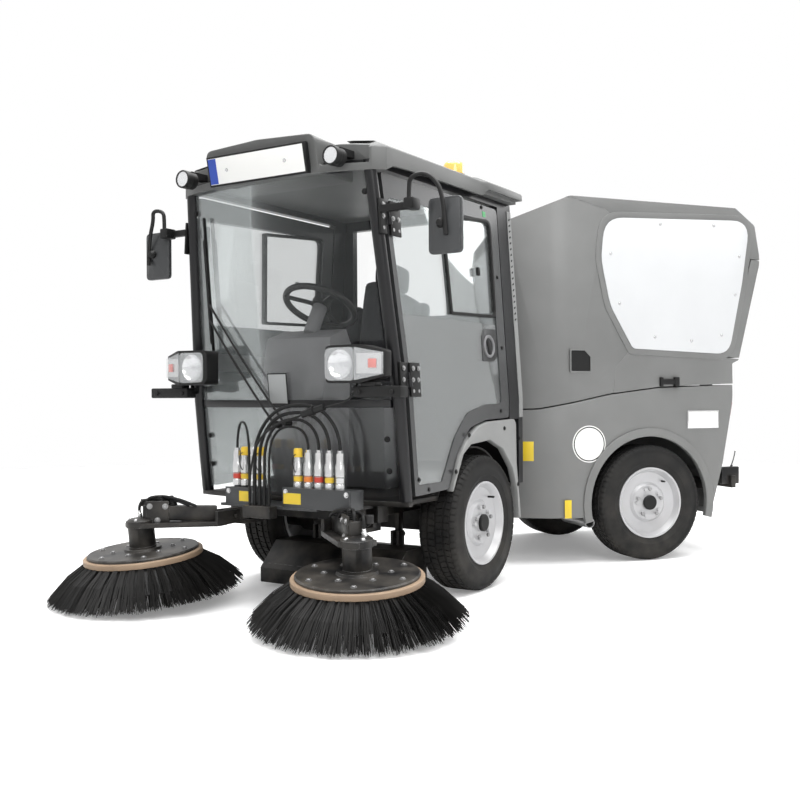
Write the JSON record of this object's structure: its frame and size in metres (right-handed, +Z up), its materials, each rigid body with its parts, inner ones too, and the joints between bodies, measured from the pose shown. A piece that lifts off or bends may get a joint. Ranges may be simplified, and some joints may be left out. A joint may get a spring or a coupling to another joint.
{
  "type": "compact street sweeper with pivoting frame",
  "caption": "Compact articulated street sweeper with glazed cab, side brooms on swing arms, suction mouth and tipping dirt hopper.",
  "frame": {"origin": "on the ground under the middle of the parked machine's bounding box", "axes": "+X forward along the front unit, +Y to its left, +Z up; the rear unit stands turned 39 degrees about the frame pivot"},
  "size_m": [3.9967, 2.4668, 2.0559],
  "materials": {
    "black_frame": "powder coat",
    "bristle": "matte",
    "cab_grey": "satin paint",
    "clear_glass": "clear",
    "console_grey": "grained",
    "engine_grey": "matte",
    "grey_shell": "satin moulded",
    "lamp_black": "gloss",
    "lamp_red": "gloss",
    "plate_white": "satin",
    "rim_silver": "silver paint",
    "seat_cloth": "woven",
    "trim_black": "matte",
    "tyre_rubber": "matte",
    "valve_grey": "satin",
    "white_panel": "gloss"
  },
  "bodies": {
    "front_unit": {"front_frame": "black_frame", "front_axle": "black_frame", "cab_floor": "black_frame", "cab_frame": "cab_grey", "fenders": "cab_grey", "cab_glass": "clear_glass", "screen_bar": "trim_black", "roof": "grey_shell", "plate_holder": "plate_white", "roof_lamps": "lamp_black", "headlamps": "lamp_black", "mirrors": "trim_black", "dashboard": "console_grey", "steering_wheel": "trim_black", "seat": "seat_cloth", "seat_box": "console_grey", "valve_blocks": "valve_grey"},
    "rear_unit": {"rear_frame": "black_frame", "rear_axle": "black_frame", "rear_lower_body": "grey_shell", "engine": "engine_grey", "tail_lamps": "lamp_red", "rear_bumper": "black_frame", "exhaust": "black_frame"},
    "hopper_tub": {"hopper": "grey_shell", "rear_hood": "grey_shell", "side_panels": "white_panel"},
    "hopper_gate": {"tailgate": "grey_shell"},
    "mouth": {"suction_mouth": "black_frame"},
    "wheel_front_left": {"tyre_front_left": "tyre_rubber", "rim_front_left": "rim_silver"},
    "wheel_rear_left": {"tyre_rear_left": "tyre_rubber", "rim_rear_left": "rim_silver"},
    "door_leaf_left": {"door_left": "cab_grey", "door_glass_left": "clear_glass"},
    "carrier_left": {"broom_carrier_left": "black_frame"},
    "arm_left": {"broom_arm_left": "black_frame"},
    "broom_left": {"broom_disc_left": "black_frame", "bristles_left": "bristle"},
    "wheel_front_right": {"tyre_front_right": "tyre_rubber", "rim_front_right": "rim_silver"},
    "wheel_rear_right": {"tyre_rear_right": "tyre_rubber", "rim_rear_right": "rim_silver"},
    "door_leaf_right": {"door_right": "cab_grey", "door_glass_right": "clear_glass"},
    "carrier_right": {"broom_carrier_right": "black_frame"},
    "arm_right": {"broom_arm_right": "black_frame"},
    "broom_right": {"broom_disc_right": "black_frame", "bristles_right": "bristle"}
  },
  "joints": [
    {"name": "steering_pivot", "type": "hinge", "parent": "front_unit", "child": "rear_unit", "pos_m": [-0.406, -0.206, 0.359], "axis": [0, 0, 1], "range_deg": [-3, 81]},
    {"name": "hopper_tip", "type": "hinge", "parent": "rear_unit", "child": "hopper_tub", "pos_m": [-1.50333, 0.6826, 1.05], "axis": [-0.6293, -0.7771, 0], "range_deg": [0, 50]},
    {"name": "tailgate_hinge", "type": "hinge", "parent": "hopper_tub", "child": "hopper_gate", "pos_m": [-1.64166, 0.79462, 1.7], "axis": [0.6293, 0.7771, 0], "range_deg": [0, 70]},
    {"name": "mouth_lift", "type": "hinge", "parent": "front_unit", "child": "mouth", "pos_m": [0.719, -0.206, 0.262], "axis": [0, -1, 0], "range_deg": [0, 8]},
    {"name": "front_wheel_left", "type": "hinge", "parent": "front_unit", "child": "wheel_front_left", "pos_m": [0.564, 0.316, 0.318], "axis": [0, 1, 0], "continuous": true},
    {"name": "rear_wheel_left", "type": "hinge", "parent": "rear_unit", "child": "wheel_rear_left", "pos_m": [-0.72175, 0.72138, 0.318], "axis": [0.6293, 0.7771, 0], "continuous": true},
    {"name": "door_hinge_left", "type": "hinge", "parent": "front_unit", "child": "door_leaf_left", "pos_m": [1.19436, 0.395, 0.9], "axis": [-0.1149, 0.0682, -0.991], "range_deg": [0, 80]},
    {"name": "broom_swing_left", "type": "hinge", "parent": "front_unit", "child": "carrier_left", "pos_m": [1.216, 0.124, 0.39], "axis": [0, 0, 1], "range_deg": [-8, 22]},
    {"name": "broom_lift_left", "type": "hinge", "parent": "carrier_left", "child": "arm_left", "pos_m": [1.294, 0.124, 0.372], "axis": [0, -1, 0], "range_deg": [0, 14]},
    {"name": "broom_spin_left", "type": "hinge", "parent": "arm_left", "child": "broom_left", "pos_m": [1.576, 0.379, 0.2245], "axis": [0.0868, 0.0347, 0.9956], "continuous": true},
    {"name": "front_wheel_right", "type": "hinge", "parent": "front_unit", "child": "wheel_front_right", "pos_m": [0.564, -0.728, 0.318], "axis": [0, 1, 0], "continuous": true},
    {"name": "rear_wheel_right", "type": "hinge", "parent": "rear_unit", "child": "wheel_rear_right", "pos_m": [-1.37876, -0.08996, 0.318], "axis": [0.6293, 0.7771, 0], "continuous": true},
    {"name": "door_hinge_right", "type": "hinge", "parent": "front_unit", "child": "door_leaf_right", "pos_m": [1.19436, -0.807, 0.9], "axis": [0.1149, 0.0682, 0.991], "range_deg": [0, 80]},
    {"name": "broom_swing_right", "type": "hinge", "parent": "front_unit", "child": "carrier_right", "pos_m": [1.216, -0.536, 0.39], "axis": [0, 0, -1], "range_deg": [-8, 22]},
    {"name": "broom_lift_right", "type": "hinge", "parent": "carrier_right", "child": "arm_right", "pos_m": [1.294, -0.536, 0.372], "axis": [0, -1, 0], "range_deg": [0, 14]},
    {"name": "broom_spin_right", "type": "hinge", "parent": "arm_right", "child": "broom_right", "pos_m": [1.576, -0.791, 0.2245], "axis": [0.0868, -0.0347, 0.9956], "continuous": true}
  ]
}
